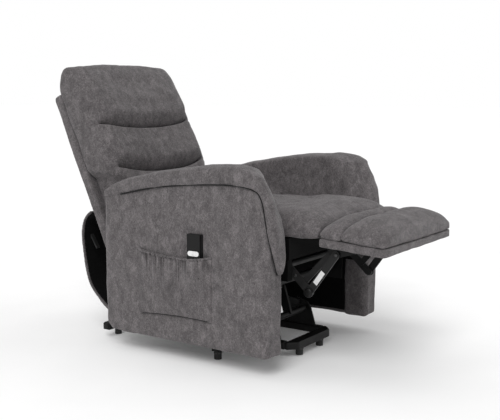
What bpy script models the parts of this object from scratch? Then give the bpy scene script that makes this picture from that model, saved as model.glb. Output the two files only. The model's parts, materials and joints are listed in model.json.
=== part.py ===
"""Lift recliner chair in its half reclined pose, with the footrest out and the lift down.

The frame: metres, +Z up, the sitter faces -Y, +X is the sitter's left, z = 0 is the floor.
Side outlines are lists of (y, z). Paired pieces are named _R and _L for the sitter's right and left.
"""

import math

import bmesh
import bpy
from mathutils import Matrix, Vector

# Running gap between neighbouring pieces
GAP = 0.0004

# Arms
ARM_OUTER = 0.383
ARM_SPLIT = 0.3055
ARM_INNER = 0.288
CAP_OUTER = 0.390
CAP_INNER = 0.262
ARM_FRONT = -0.350
ARM_REAR = 0.355
ARM_BOTTOM = 0.069

# Base
FOOT_RADIUS = 0.0135
LOOP_X = 0.125
TUBE_WIDTH = 0.025
TUBE_BOTTOM = 0.028
TUBE_TOP = 0.056
OUTRIGGER_REACH = 0.295

# Lift linkage, in side view
LIFT_ARM_BASE = (-0.179, 0.118)
LIFT_ARM_TOP = (0.201, 0.142)
LIFT_LINK_BASE = (-0.148, 0.139)
LIFT_LINK_TOP = (0.290, 0.176)

# Lift actuator, in side view
ACTUATOR_PIVOT = (0.368, 0.104)
ACTUATOR_PIN = (-0.148, 0.219)

# Footrest linkage, in side view
DRIVE_PIVOT = (-0.305, 0.348)
KNEE = (-0.395, 0.266)
BOARD_PIVOT = (-0.494, 0.402)
REAR_BAR_PIVOT = (-0.3691, 0.2958)
REAR_BAR_END = (-0.4748, 0.4098)

# Back
BACK_PIVOT = (0.335, 0.330)
BACK_LEAN = math.radians(24.5)
BACK_HALF = 0.290
SHELL_PIVOT = (0.430, 0.115)

# Seat and footrest
SEAT_HALF = 0.256
FOOT_HALF = 0.260

SEAM = [
    (-0.352, 0.347), (-0.345, 0.431), (-0.335, 0.524), (-0.318, 0.585), (-0.285, 0.612),
    (-0.200, 0.621), (-0.080, 0.616), (0.050, 0.604), (0.150, 0.589), (0.275, 0.562), (0.355, 0.545),
]
CREST = [
    (0.357, 0.598), (0.311, 0.609), (0.207, 0.626), (0.094, 0.649), (-0.058, 0.671), (-0.200, 0.680),
    (-0.260, 0.673), (-0.305, 0.648), (-0.335, 0.600), (-0.353, 0.553), (-0.363, 0.475), (-0.367, 0.391),
    (-0.364, 0.347),
]


# ---------------------------------------------------------------- scene and materials


def clear_scene():
    for obj in list(bpy.data.objects):
        bpy.data.objects.remove(obj, do_unlink=True)


def new_collection(name, hidden):
    group = bpy.data.collections.new(name)
    bpy.context.scene.collection.children.link(group)
    group.hide_render = hidden
    return group


def material(name, color, roughness, metallic=0.0):
    mat = bpy.data.materials.new(name)
    mat.use_nodes = True
    shader = mat.node_tree.nodes["Principled BSDF"]
    shader.inputs["Base Color"].default_value = (*color, 1.0)
    shader.inputs["Roughness"].default_value = roughness
    shader.inputs["Metallic"].default_value = metallic
    return mat


clear_scene()
PARTS = new_collection("lift_recliner_chair", False)
CUTTERS = new_collection("cutters", True)
PIVOTS = {}
PIVOT_PLACES = {}

# Turns a flat outline's X and Y to the chair's Y and Z
SIDE_VIEW = Matrix(((0, 0, 1, 0), (1, 0, 0, 0), (0, 1, 0, 0), (0, 0, 0, 1)))

FABRIC = material("upholstery", (0.105, 0.100, 0.102), 0.9)
LINING = material("lining", (0.012, 0.012, 0.013), 0.9)
BLACK_STEEL = material("black_steel", (0.020, 0.020, 0.022), 0.45, 0.6)
LINK_STEEL = material("link_steel", (0.060, 0.060, 0.062), 0.45, 0.7)
RUBBER = material("rubber", (0.015, 0.015, 0.015), 0.8)
PLASTIC = material("black_plastic", (0.025, 0.025, 0.027), 0.5)
WHITE = material("white_plastic", (0.80, 0.80, 0.79), 0.4)
BOARD = material("board", (0.35, 0.25, 0.15), 0.7)
CHROME = material("bright_rod", (0.60, 0.60, 0.60), 0.25, 1.0)


# ---------------------------------------------------------------- building blocks


def place_node(mesh, name, mat, pivot=None):
    """Makes a node from a mesh that is already in world coordinates."""
    obj = bpy.data.objects.new(name, mesh)
    if mat is None:
        CUTTERS.objects.link(obj)
        obj.hide_render = True
        obj.display_type = "WIRE"
        return obj
    PARTS.objects.link(obj)
    mesh.materials.append(mat)
    if pivot:
        hang(obj, pivot)
    return obj


def add_pivot(name, location, parent=None):
    """An empty on a joint's axis, which its moving pieces hang on."""
    empty = bpy.data.objects.new(name, None)
    empty.location = location
    empty.empty_display_size = 0.03
    PARTS.objects.link(empty)
    PIVOT_PLACES[name] = Vector(location)
    PIVOTS[name] = empty
    if parent:
        hang(empty, parent)


def hang(obj, pivot):
    obj.parent = PIVOTS[pivot]
    obj.matrix_parent_inverse = Matrix.Translation(-PIVOT_PLACES[pivot])


def tidy_mesh(bm, name, smooth=None):
    """Welds, points the faces outward and shades round shapes smooth."""
    bmesh.ops.remove_doubles(bm, verts=bm.verts, dist=1e-6)
    bmesh.ops.recalc_face_normals(bm, faces=bm.faces)
    mesh = bpy.data.meshes.new(name)
    bm.to_mesh(mesh)
    bm.free()
    if smooth is not None:
        mesh.shade_smooth()
        mesh.set_sharp_from_angle(angle=math.radians(smooth))
    return mesh


def extruded(name, outline, turn, shift, thickness):
    """A flat outline as a filled 2D curve, thickened both ways and made into a welded mesh."""
    curve = bpy.data.curves.new(name, "CURVE")
    curve.dimensions = "2D"
    curve.fill_mode = "BOTH"
    curve.extrude = thickness / 2
    spline = curve.splines.new("POLY")
    spline.points.add(len(outline) - 1)
    for point, (a, b) in zip(spline.points, outline):
        point.co = (a, b, 0.0, 1.0)
    spline.use_cyclic_u = True
    guide = bpy.data.objects.new(name, curve)
    guide.matrix_world = Matrix.Translation(shift) @ turn
    PARTS.objects.link(guide)
    bpy.context.view_layer.update()
    depsgraph = bpy.context.evaluated_depsgraph_get()
    flat = bpy.data.meshes.new_from_object(guide.evaluated_get(depsgraph))
    flat.transform(guide.matrix_world)
    bpy.data.objects.remove(guide, do_unlink=True)
    bm = bmesh.new()
    bm.from_mesh(flat)
    bpy.data.meshes.remove(flat)
    return tidy_mesh(bm, name)


def plate(name, outline, low, high, mat, pivot=None):
    """A side outline (y, z) between x = low and x = high."""
    mesh = extruded(name, outline, SIDE_VIEW, Vector(((low + high) / 2, 0.0, 0.0)), abs(high - low))
    return place_node(mesh, name, mat, pivot)


def side_plate(name, outline, side, inner, outer, mat, pivot=None):
    """A side outline on the sitter's right (side -1) or left (side 1)."""
    return plate(name, outline, side * inner, side * outer, mat, pivot)


def slab(name, outline, low, high, mat, pivot=None):
    """A plan outline (x, y) between z = low and z = high."""
    mesh = extruded(name, outline, Matrix.Identity(4), Vector((0.0, 0.0, (low + high) / 2)), high - low)
    return place_node(mesh, name, mat, pivot)


def box(name, low, high, mat, pivot=None):
    bm = bmesh.new()
    middle = (Vector(low) + Vector(high)) / 2
    size = Vector([abs(b - a) for a, b in zip(low, high)])
    matrix = Matrix.Translation(middle) @ Matrix.Diagonal((*size, 1.0))
    bmesh.ops.create_cube(bm, size=1.0, matrix=matrix)
    return place_node(tidy_mesh(bm, name), name, mat, pivot)


def rod(name, start, end, radius, mat, sides=16, pivot=None):
    """A straight round bar between two points."""
    first = Vector(start)
    direction = Vector(end) - first
    bm = bmesh.new()
    turn = direction.to_track_quat("Z", "Y").to_matrix().to_4x4()
    matrix = Matrix.Translation(first + direction / 2) @ turn
    bmesh.ops.create_cone(
        bm, cap_ends=True, segments=sides, radius1=radius, radius2=radius,
        depth=direction.length, matrix=matrix,
    )
    return place_node(tidy_mesh(bm, name, 40.0), name, mat, pivot)


def soften(obj, width, segments=2, angle=40.0):
    bevel = obj.modifiers.new("soften", "BEVEL")
    bevel.width = width
    bevel.segments = segments
    bevel.limit_method = "ANGLE"
    bevel.angle_limit = math.radians(angle)
    return obj


def combine(obj, helper, operation):
    """Joins a helper solid to a node, or cuts it out."""
    boolean = obj.modifiers.new(operation.lower(), "BOOLEAN")
    boolean.operation = operation
    boolean.solver = "EXACT"
    boolean.object = helper
    return obj


def suffix(side):
    return "_R" if side < 0 else "_L"


def bar_outline(start, end, half_width, steps=5):
    """The outline of a flat bar with round ends about two pivots."""
    heading = math.atan2(end[1] - start[1], end[0] - start[0])
    outline = []
    for centre, first in ((end, heading - math.pi / 2), (start, heading + math.pi / 2)):
        for step in range(steps + 1):
            angle = first + math.pi * step / steps
            outline.append((centre[0] + half_width * math.cos(angle), centre[1] + half_width * math.sin(angle)))
    return outline


def lean(s, t):
    """A side-view point of the back, s up along it and t forward of it from the back's pivot."""
    y = BACK_PIVOT[0] + s * math.sin(BACK_LEAN) - t * math.cos(BACK_LEAN)
    z = BACK_PIVOT[1] + s * math.cos(BACK_LEAN) + t * math.sin(BACK_LEAN)
    return (y, z)


def leaning(points):
    return [lean(s, t) for s, t in points]


def along(start, end, distance):
    """A side-view point at a distance from the first point toward the second."""
    share = distance / math.dist(start, end)
    return (start[0] + share * (end[0] - start[0]), start[1] + share * (end[1] - start[1]))


# ---------------------------------------------------------------- pivots


def build_pivots():
    add_pivot("pivot_lift_arm", (0.0, *LIFT_ARM_BASE))
    add_pivot("pivot_lift_link", (0.0, *LIFT_LINK_BASE))
    add_pivot("pivot_actuator", (0.0, *ACTUATOR_PIVOT))
    add_pivot("pivot_chassis", (0.0, *LIFT_ARM_TOP), "pivot_lift_arm")
    add_pivot("slide_seat", (0.0, -0.065, 0.372), "pivot_chassis")
    add_pivot("pivot_drive", (0.0, *DRIVE_PIVOT), "slide_seat")
    add_pivot("pivot_front_bar", (0.0, *KNEE), "pivot_drive")
    add_pivot("pivot_rear_bar", (0.0, *REAR_BAR_PIVOT), "pivot_drive")
    add_pivot("pivot_board", (0.0, *BOARD_PIVOT), "pivot_front_bar")
    add_pivot("pivot_back", (0.0, *BACK_PIVOT), "pivot_chassis")
    add_pivot("pivot_shell", (0.0, *SHELL_PIVOT), "pivot_chassis")
    add_pivot("slide_handset", (-0.393, -0.060, 0.380), "pivot_chassis")


# ---------------------------------------------------------------- base


def build_base():
    half = TUBE_WIDTH / 2
    corner = 0.030
    edge = LOOP_X + half
    front = [(-edge, -0.2504), (-edge, -0.292 + corner), (-edge + corner, -0.292)]
    front += [(edge - corner, -0.292), (edge, -0.292 + corner), (edge, -0.2504)]
    soften(slab("base_loop_front", front, TUBE_BOTTOM, TUBE_TOP, BLACK_STEEL), 0.005, 2, 30.0)
    cross = box(
        "base_cross_rear",
        (-OUTRIGGER_REACH, 0.430, TUBE_BOTTOM), (OUTRIGGER_REACH, 0.460, TUBE_TOP), BLACK_STEEL,
    )
    soften(cross, 0.003, 1)
    for side in (-1, 1):
        build_base_side(side, half, edge)


def build_base_side(side, half, edge):
    end = suffix(side)
    rail = box(
        "base_loop_side" + end,
        (side * (LOOP_X - half), -0.250, TUBE_BOTTOM), (side * edge, 0.4295, TUBE_TOP), BLACK_STEEL,
    )
    soften(rail, 0.003, 1)
    arm = box(
        "base_outrigger" + end,
        (side * (edge + GAP), -0.082, TUBE_BOTTOM), (side * OUTRIGGER_REACH, -0.052, TUBE_TOP), BLACK_STEEL,
    )
    soften(arm, 0.003, 1)
    for label, x, y in (("front", 0.070, -0.271), ("mid", 0.278, -0.067), ("rear", 0.230, 0.445)):
        rod(
            "foot_" + label + end, (side * x, y, 0.0), (side * x, y, TUBE_BOTTOM - GAP), FOOT_RADIUS, RUBBER, 12
        )
    outline = [
        (-0.225, TUBE_TOP + GAP), (-0.105, TUBE_TOP + GAP), (-0.112, 0.085), (-0.130, 0.150),
        (-0.146, 0.158), (-0.190, 0.142), (-0.205, 0.120),
    ]
    side_plate("lift_bracket" + end, outline, side, 0.116, 0.122, BLACK_STEEL)


# ---------------------------------------------------------------- lift linkage and actuator


def build_lift():
    arm = bar_outline(LIFT_ARM_BASE, LIFT_ARM_TOP, 0.0145)
    link = bar_outline(LIFT_LINK_BASE, LIFT_LINK_TOP, 0.0115)
    for side in (-1, 1):
        side_plate("lift_arm" + suffix(side), arm, side, 0.1225, 0.1300, LINK_STEEL, "pivot_lift_arm")
        side_plate("lift_link" + suffix(side), link, side, 0.1085, 0.1155, LINK_STEEL, "pivot_lift_link")
    tube = rod(
        "lift_cross_tube", (-0.1080, *LIFT_ARM_BASE), (0.1080, *LIFT_ARM_BASE), 0.0120, BLACK_STEEL, 16,
        "pivot_lift_arm",
    )
    horn = [
        (-0.196, 0.120), (-0.162, 0.120), (-0.132, 0.214), (-0.140, 0.232), (-0.158, 0.232), (-0.165, 0.220),
    ]
    combine(tube, plate("horn", horn, -0.005, 0.005, None), "UNION")


def build_actuator():
    """A gear housing with an open tube in which the rod slides."""
    def point(distance, x=0.0):
        return (x, *along(ACTUATOR_PIVOT, ACTUATOR_PIN, distance))

    body = rod("actuator_body", point(0.020), point(0.330), 0.0240, PLASTIC, 16, "pivot_actuator")
    combine(body, rod("motor", point(0.050), point(0.050, 0.085), 0.0260, None, 14), "UNION")
    combine(body, rod("bore", point(0.0605), point(0.345), 0.0125, None), "DIFFERENCE")
    stem = rod("actuator_rod", point(0.062), point(0.490), 0.0110, CHROME, 12, "pivot_actuator")
    cheek = bar_outline(along(ACTUATOR_PIVOT, ACTUATOR_PIN, 0.478), ACTUATOR_PIN, 0.0100, 4)
    for low in (-0.0096, 0.0056):
        combine(stem, plate("fork", cheek, low, low + 0.0040, None), "UNION")


# ---------------------------------------------------------------- chassis and arms


def build_chassis():
    web = [
        (-0.262, 0.215), (0.292, 0.215), (0.345, 0.296), (0.366, 0.318), (0.366, 0.346), (0.350, 0.360),
        (0.322, 0.360), (0.306, 0.344), (-0.235, 0.344), (-0.262, 0.320),
    ]
    for side in (-1, 1):
        end = suffix(side)
        web_plate = side_plate("side_plate" + end, web, side, 0.2490, 0.2530, BLACK_STEEL, "pivot_chassis")
        rail = box("rail", (side * 0.2515, -0.220, 0.232), (side * 0.2876, 0.240, 0.240), None)
        combine(web_plate, rail, "UNION")
    rod(
        "chassis_tube_front", (-0.2486, -0.215, 0.262), (0.2486, -0.215, 0.262), 0.0130, BLACK_STEEL, 14,
        "pivot_chassis",
    )
    rear = rod(
        "chassis_tube_rear", (-0.2486, 0.245, 0.250), (0.2486, 0.245, 0.250), 0.0150, BLACK_STEEL, 14,
        "pivot_chassis",
    )
    lug = [
        (0.186, 0.134), (0.196, 0.127), (0.208, 0.128), (0.296, 0.163), (0.302, 0.174), (0.300, 0.186),
        (0.262, 0.252), (0.232, 0.256), (0.190, 0.156),
    ]
    for side in (-1, 1):
        combine(rear, side_plate("lug", lug, side, 0.116, 0.122, None), "UNION")


def build_arms():
    body_outline = [(ARM_FRONT, 0.3462)]
    body_outline += [(max(y, ARM_FRONT) + 0.0006, z - 0.0016) for y, z in SEAM[1:]]
    body_outline += [(ARM_REAR, 0.5434), (ARM_REAR, 0.093), (0.330, ARM_BOTTOM), (-0.346, ARM_BOTTOM)]
    post_outline = [
        (ARM_FRONT, 0.3462), (-0.3440, 0.4300), (-0.3340, 0.5230), (-0.3170, 0.5836), (-0.2960, 0.5990),
        (-0.2960, ARM_BOTTOM), (-0.346, ARM_BOTTOM),
    ]
    board_outline = [
        (-0.2956, 0.085), (0.330, 0.085), (0.330, 0.540), (0.275, 0.553), (0.150, 0.582), (0.050, 0.597),
        (-0.080, 0.609), (-0.200, 0.614), (-0.2956, 0.600),
    ]
    for side in (-1, 1):
        end = suffix(side)
        cap = side_plate("arm_cap" + end, SEAM + CREST, side, CAP_INNER, CAP_OUTER, FABRIC, "pivot_chassis")
        soften(cap, 0.014, 3, 50.0)
        body = side_plate("arm_body" + end, body_outline, side, ARM_SPLIT, ARM_OUTER, FABRIC, "pivot_chassis")
        combine(body, side_plate("post", post_outline, side, ARM_INNER, ARM_SPLIT + 0.010, None), "UNION")
        side_plate("arm_frame" + end, board_outline, side, ARM_INNER, ARM_SPLIT - GAP, LINING, "pivot_chassis")


def build_pocket_and_handset():
    face = -ARM_OUTER - GAP
    plan = [
        (face, -0.129), (-0.3880, -0.129), (-0.4060, -0.100), (-0.4062, -0.022), (-0.3890, 0.030),
        (-0.3880, 0.200), (face, 0.200),
    ]
    pocket = slab("arm_pocket", plan, 0.157, 0.366, FABRIC, "pivot_chassis")
    hollow = [
        (face + 0.005, -0.126), (-0.3868, -0.126), (-0.4030, -0.098), (-0.4032, -0.024), (-0.3872, 0.027),
        (-0.3866, 0.197), (face + 0.005, 0.197),
    ]
    combine(pocket, slab("hollow", hollow, 0.162, 0.380, None), "DIFFERENCE")
    shell = box("handset_shell", (-0.4020, -0.087, 0.305), (-0.3842, -0.033, 0.453), PLASTIC, "slide_handset")
    for label, low, high in (("front", -0.0830, -0.0604), ("rear", -0.0596, -0.0370)):
        recess = box("recess", (-0.4100, low - 0.0004, 0.3796), (-0.3980, high + 0.0004, 0.3974), None)
        combine(shell, recess, "DIFFERENCE")
        button = box("button_" + label, (-0.4045, low, 0.3800), (-0.4001, high, 0.3970), WHITE, "slide_handset")
        soften(button, 0.0012, 2)


# ---------------------------------------------------------------- seat and footrest


def build_seat():
    frame = box("seat_frame", (-0.2470, -0.337, 0.372), (0.2470, -0.321, 0.446), BOARD, "slide_seat")
    for side in (-1, 1):
        rail = box("rail", (side * 0.2186, -0.332, 0.300), (side * 0.2470, 0.200, 0.446), None)
        combine(frame, rail, "UNION")
    box("seat_springs", (-0.2180, -0.3206, 0.4435), (0.2180, 0.195, 0.446), LINK_STEEL, "slide_seat")
    outline = [
        (-0.453, 0.462), (-0.447, 0.452), (-0.345, 0.450), (-0.330, 0.4468), (0.300, 0.4468), (0.320, 0.458),
        (0.320, 0.488), (0.300, 0.500), (0.180, 0.510), (0.077, 0.521), (-0.054, 0.531), (-0.232, 0.541),
        (-0.340, 0.539), (-0.400, 0.530), (-0.440, 0.515), (-0.453, 0.498),
    ]
    soften(plate("seat_cushion", outline, -SEAT_HALF, SEAT_HALF, FABRIC, "slide_seat"), 0.010, 2, 50.0)


def build_footrest_links():
    drive = bar_outline(DRIVE_PIVOT, KNEE, 0.0140)
    front = bar_outline(KNEE, BOARD_PIVOT, 0.0130)
    rear = bar_outline(REAR_BAR_PIVOT, REAR_BAR_END, 0.0105)
    lug = [
        (-0.560, 0.4186), (-0.560, 0.410), (-0.500, 0.391), (-0.488, 0.390), (-0.468, 0.398),
        (-0.462, 0.410), (-0.462, 0.4276),
    ]
    for side in (-1, 1):
        end = suffix(side)
        link = side_plate("drive_link" + end, drive, side, 0.2050, 0.2110, LINK_STEEL, "pivot_drive")
        boss = rod("boss", (side * 0.2090, *DRIVE_PIVOT), (side * 0.2182, *DRIVE_PIVOT), 0.0110, None, 12)
        combine(link, boss, "UNION")
        side_plate("front_bar" + end, front, side, 0.2114, 0.2174, LINK_STEEL, "pivot_front_bar")
        side_plate("rear_bar" + end, rear, side, 0.1986, 0.2046, LINK_STEEL, "pivot_rear_bar")
        side_plate("foot_bracket" + end, lug, side, 0.2050, 0.2110, BLACK_STEEL, "pivot_board")
    rod("drive_tube", (-0.2046, *DRIVE_PIVOT), (0.2046, *DRIVE_PIVOT), 0.0110, BLACK_STEEL, 14, "pivot_drive")


def build_footrest_pads():
    board = [(-0.457, 0.4300), (-0.685, 0.4140), (-0.692, 0.4230), (-0.692, 0.4420), (-0.457, 0.4580)]
    plate("foot_board", board, -FOOT_HALF, FOOT_HALF, FABRIC, "pivot_board")
    roll = [
        (-0.461, 0.466), (-0.464, 0.4586), (-0.528, 0.4540), (-0.533, 0.462), (-0.533, 0.496), (-0.522, 0.510),
        (-0.498, 0.516), (-0.474, 0.510), (-0.461, 0.496),
    ]
    soften(plate("foot_roll", roll, -FOOT_HALF, FOOT_HALF, FABRIC, "pivot_board"), 0.008, 2, 60.0)
    pad = [
        (-0.5345, 0.464), (-0.5370, 0.4534), (-0.684, 0.4434), (-0.692, 0.450), (-0.690, 0.478),
        (-0.672, 0.502), (-0.630, 0.516), (-0.580, 0.520), (-0.548, 0.512), (-0.5345, 0.496),
    ]
    soften(plate("foot_pad", pad, -FOOT_HALF, FOOT_HALF, FABRIC, "pivot_board"), 0.008, 2, 60.0)


# ---------------------------------------------------------------- back and rear shell


def build_back():
    panel = leaning([(0.0, -0.0995), (0.655, -0.0995), (0.664, -0.090), (0.664, -0.0808), (0.0, -0.0808)])
    soften(plate("back_panel", panel, -BACK_HALF, BACK_HALF, FABRIC, "pivot_back"), 0.006, 2, 60.0)
    frame = leaning([(0.020, -0.0804), (0.655, -0.0804), (0.655, -0.0600), (0.020, -0.0600)])
    plate("back_frame", frame, -0.2430, 0.2430, BOARD, "pivot_back")
    low = leaning([
        (0.186, -0.0596), (0.3200, -0.0596), (0.3200, 0.046), (0.3120, 0.066), (0.285, 0.076),
        (0.230, 0.078), (0.196, 0.066), (0.186, 0.046),
    ])
    soften(plate("back_pad_low", low, -0.2500, 0.2500, FABRIC, "pivot_back"), 0.010, 2, 60.0)
    mid = leaning([
        (0.3206, -0.0596), (0.4876, -0.0596), (0.4876, 0.036), (0.478, 0.060), (0.445, 0.072),
        (0.385, 0.074), (0.340, 0.064), (0.3206, 0.046),
    ])
    soften(plate("back_pad_mid", mid, -BACK_HALF, BACK_HALF, FABRIC, "pivot_back"), 0.010, 2, 60.0)
    head = leaning([
        (0.4882, -0.0596), (0.6660, -0.0596), (0.6900, -0.050), (0.722, -0.036), (0.737, -0.010),
        (0.737, 0.018), (0.722, 0.042), (0.680, 0.054), (0.600, 0.062), (0.530, 0.062), (0.500, 0.052),
        (0.4882, 0.036),
    ])
    soften(plate("back_pad_head", head, -BACK_HALF, BACK_HALF, FABRIC, "pivot_back"), 0.010, 2, 60.0)
    hinge = leaning([
        (-0.020, -0.010), (-0.006, 0.018), (0.016, 0.014), (0.060, -0.030),
        (0.180, -0.052), (0.180, -0.080), (0.050, -0.080), (-0.010, -0.030),
    ])
    for side in (-1, 1):
        side_plate("back_bracket" + suffix(side), hinge, side, 0.2436, 0.2476, BLACK_STEEL, "pivot_back")


def build_rear_shell():
    """A curved lower rear panel with a stay across its inner face."""
    outer = [
        (0.4340, 0.101), (0.4760, 0.131), (0.5200, 0.172), (0.5440, 0.212), (0.5580, 0.270), (0.5680, 0.330),
        (0.5710, 0.385), (0.5620, 0.430), (0.5460, 0.455), (0.5240, 0.472),
    ]
    inner = [
        (0.5190, 0.4650), (0.5380, 0.4490), (0.5520, 0.4260), (0.5610, 0.3840), (0.5580, 0.3310),
        (0.5482, 0.2720), (0.5340, 0.2160), (0.5118, 0.1790), (0.4690, 0.1390), (0.4284, 0.1100),
    ]
    plate("rear_shell", outer + inner, -0.2860, 0.2860, LINING, "pivot_shell")
    stay = [(0.5180, 0.3300), (0.5230, 0.3260), (0.5510, 0.3700), (0.5510, 0.3800)]
    plate("shell_stay", stay, -0.2600, -0.2440, LINK_STEEL, "pivot_shell")


build_pivots()
build_base()
build_lift()
build_actuator()
build_chassis()
build_arms()
build_pocket_and_handset()
build_seat()
build_footrest_links()
build_footrest_pads()
build_back()
build_rear_shell()
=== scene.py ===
"""Visual model of the lift recliner chair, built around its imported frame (metres, +Z up, front -Y)."""

import json
import math

import bmesh
import bpy
import numpy as np
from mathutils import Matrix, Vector, noise


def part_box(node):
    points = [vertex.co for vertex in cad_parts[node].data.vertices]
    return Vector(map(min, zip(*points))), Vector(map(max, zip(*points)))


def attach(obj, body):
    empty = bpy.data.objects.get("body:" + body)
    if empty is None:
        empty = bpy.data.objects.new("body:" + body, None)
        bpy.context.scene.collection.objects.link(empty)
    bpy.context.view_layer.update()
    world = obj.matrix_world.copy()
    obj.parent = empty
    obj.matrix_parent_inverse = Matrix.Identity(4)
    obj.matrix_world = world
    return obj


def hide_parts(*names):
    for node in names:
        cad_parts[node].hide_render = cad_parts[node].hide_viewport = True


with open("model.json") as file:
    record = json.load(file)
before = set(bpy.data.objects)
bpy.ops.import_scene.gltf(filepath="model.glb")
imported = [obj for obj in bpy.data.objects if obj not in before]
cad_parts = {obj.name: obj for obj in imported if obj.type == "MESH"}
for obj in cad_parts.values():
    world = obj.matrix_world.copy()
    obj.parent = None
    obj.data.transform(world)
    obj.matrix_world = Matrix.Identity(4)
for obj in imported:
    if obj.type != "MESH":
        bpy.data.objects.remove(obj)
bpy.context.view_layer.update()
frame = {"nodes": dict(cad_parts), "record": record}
NODES = frame["nodes"]
SIDES = ((-1, "R"), (1, "L"))

BACK_PIVOT = (0.335, 0.330)
BACK_LEAN = math.radians(24.5)
BACK_HALF = 0.2920
FOOTREST_HALF = 0.2625

# ---------------------------------------------------------------- materials


class Shader:
    """Small helper round one material's node tree."""

    def __init__(self, name, roughness, metallic=0.0, sheen=0.0, specular=0.5, coat=0.0):
        self.mat = bpy.data.materials.new(name)
        self.mat.use_nodes = True
        self.tree = self.mat.node_tree
        self.bsdf = self.tree.nodes["Principled BSDF"]
        for key, value in (
            ("Roughness", roughness), ("Metallic", metallic), ("Sheen Weight", sheen),
            ("Specular IOR Level", specular), ("Coat Weight", coat),
        ):
            self.bsdf.inputs[key].default_value = value
        self.coords = self.tree.nodes.new("ShaderNodeTexCoord").outputs["Object"]

    def link(self, a, b):
        self.tree.links.new(a, b)

    def mapped(self, stretch):
        node = self.tree.nodes.new("ShaderNodeMapping")
        node.inputs["Scale"].default_value = stretch
        self.link(self.coords, node.inputs["Vector"])
        return node.outputs["Vector"]

    def noise(self, scale, detail=4.0, rough=0.6, stretch=(1, 1, 1), distort=0.0):
        node = self.tree.nodes.new("ShaderNodeTexNoise")
        node.inputs["Scale"].default_value = scale
        node.inputs["Detail"].default_value = detail
        node.inputs["Roughness"].default_value = rough
        node.inputs["Distortion"].default_value = distort
        self.link(self.mapped(stretch), node.inputs["Vector"])
        return node.outputs["Fac"]

    def wave(self, scale, direction, distort=1.0):
        node = self.tree.nodes.new("ShaderNodeTexWave")
        node.bands_direction = direction
        node.inputs["Scale"].default_value = scale
        node.inputs["Distortion"].default_value = distort
        node.inputs["Detail"].default_value = 2.0
        self.link(self.coords, node.inputs["Vector"])
        return node.outputs["Fac"]

    def math(self, operation, a, b):
        node = self.tree.nodes.new("ShaderNodeMath")
        node.operation = operation
        for socket, value in zip(node.inputs, (a, b)):
            if isinstance(value, (int, float)):
                socket.default_value = value
            else:
                self.link(value, socket)
        return node.outputs[0]

    def mix(self, parts):
        """Weighted sum of grey outputs."""
        total = None
        for output, weight in parts:
            term = self.math("MULTIPLY", output, weight)
            total = term if total is None else self.math("ADD", total, term)
        return total

    def ramp(self, source, stops):
        node = self.tree.nodes.new("ShaderNodeValToRGB")
        elements = node.color_ramp.elements
        while len(elements) < len(stops):
            elements.new(0.5)
        for element, (place, value) in zip(elements, stops):
            element.position = place
            color = value if isinstance(value, tuple) else (value, value, value)
            element.color = (*color, 1.0)
        self.link(source, node.inputs["Fac"])
        return node.outputs["Color"]

    def color(self, output):
        self.link(output, self.bsdf.inputs["Base Color"])

    def roughness(self, output):
        self.link(output, self.bsdf.inputs["Roughness"])

    def bump(self, height, distance, strength=1.0):
        node = self.tree.nodes.new("ShaderNodeBump")
        node.inputs["Strength"].default_value = strength
        node.inputs["Distance"].default_value = distance
        self.link(height, node.inputs["Height"])
        self.link(node.outputs["Normal"], self.bsdf.inputs["Normal"])


def tint(value):
    """The cloth's slightly warm grey at a brightness."""
    return (value * 1.05, value * 0.965, value * 0.985)


def fabric(name, level, stretch, gather_shade=None):
    """Brushed chenille: cloudy nap, short streaks and a fine weave.

    The last argument is a height and a depth in metres where upright light and dark streaks fade in, as
    painted shade and light of the pleats gathered under the hem.
    """
    s = Shader(name, 0.90, sheen=0.22, specular=0.2)
    s.bsdf.inputs["Sheen Roughness"].default_value = 0.4
    cloud = s.noise(34.0, 3.0, 0.6, stretch, 0.6)
    nap = s.noise(210.0, 4.0, 0.78, stretch, 0.6)
    fibre = s.noise(460.0, 3.0, 0.7)
    fine = s.noise(1100.0, 2.0, 0.6)
    warp = s.wave(260.0, "Y", 2.5)
    weft = s.wave(260.0, "Z", 2.5)
    tone = s.mix(((cloud, 0.26), (nap, 0.40), (fibre, 0.34)))
    if gather_shade:
        split = s.tree.nodes.new("ShaderNodeSeparateXYZ")
        s.link(s.coords, split.inputs[0])
        rise = s.math("MULTIPLY", s.math("SUBTRACT", split.outputs["Z"], gather_shade[0]), 1 / gather_shade[1])
        rise.node.use_clamp = True
        # Upright light and dark streaks: painted shade and light of the pleats under the hem
        pleat_shade = s.noise(62.0, 2.0, 0.5, (0.0, 1.0, 0.14), 0.5)
        strength = s.math("MULTIPLY", rise, 0.42)
        tone = s.math("ADD", tone, s.math("MULTIPLY", s.math("SUBTRACT", pleat_shade, 0.5), strength))
    s.color(s.ramp(tone, (
        (0.39, tint(level * 0.46)), (0.47, tint(level * 0.80)),
        (0.53, tint(level * 1.14)), (0.62, tint(level * 1.85)),
    )))
    s.bump(s.mix(((nap, 0.5), (fibre, 0.5), (fine, 0.25), (warp, 0.12), (weft, 0.12))), 0.0022, 0.55)
    return s.mat


def lining(name, level):
    """Thin black non-woven cloth."""
    s = Shader(name, 0.95, sheen=0.03, specular=0.08)
    fuzz = s.noise(240.0, 4.0, 0.7)
    dots = s.noise(900.0, 2.0, 0.6)
    s.color(s.ramp(fuzz, ((0.35, level * 0.7), (0.65, level * 1.5))))
    s.bump(s.mix(((fuzz, 0.6), (dots, 0.4))), 0.0012, 0.4)
    return s.mat


def paint(name, level, roughness):
    """Powder coat: orange peel and dust in the low tones."""
    s = Shader(name, roughness, metallic=0.0, specular=0.28)
    peel = s.noise(900.0, 2.0, 0.5)
    cloud = s.noise(22.0, 4.0, 0.6)
    s.color(s.ramp(cloud, ((0.35, level * 0.75), (0.62, level * 1.15), (0.75, level * 1.9))))
    s.roughness(s.ramp(cloud, ((0.3, roughness - 0.08), (0.7, roughness + 0.12))))
    s.bump(peel, 0.0004, 0.35)
    return s.mat


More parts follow.
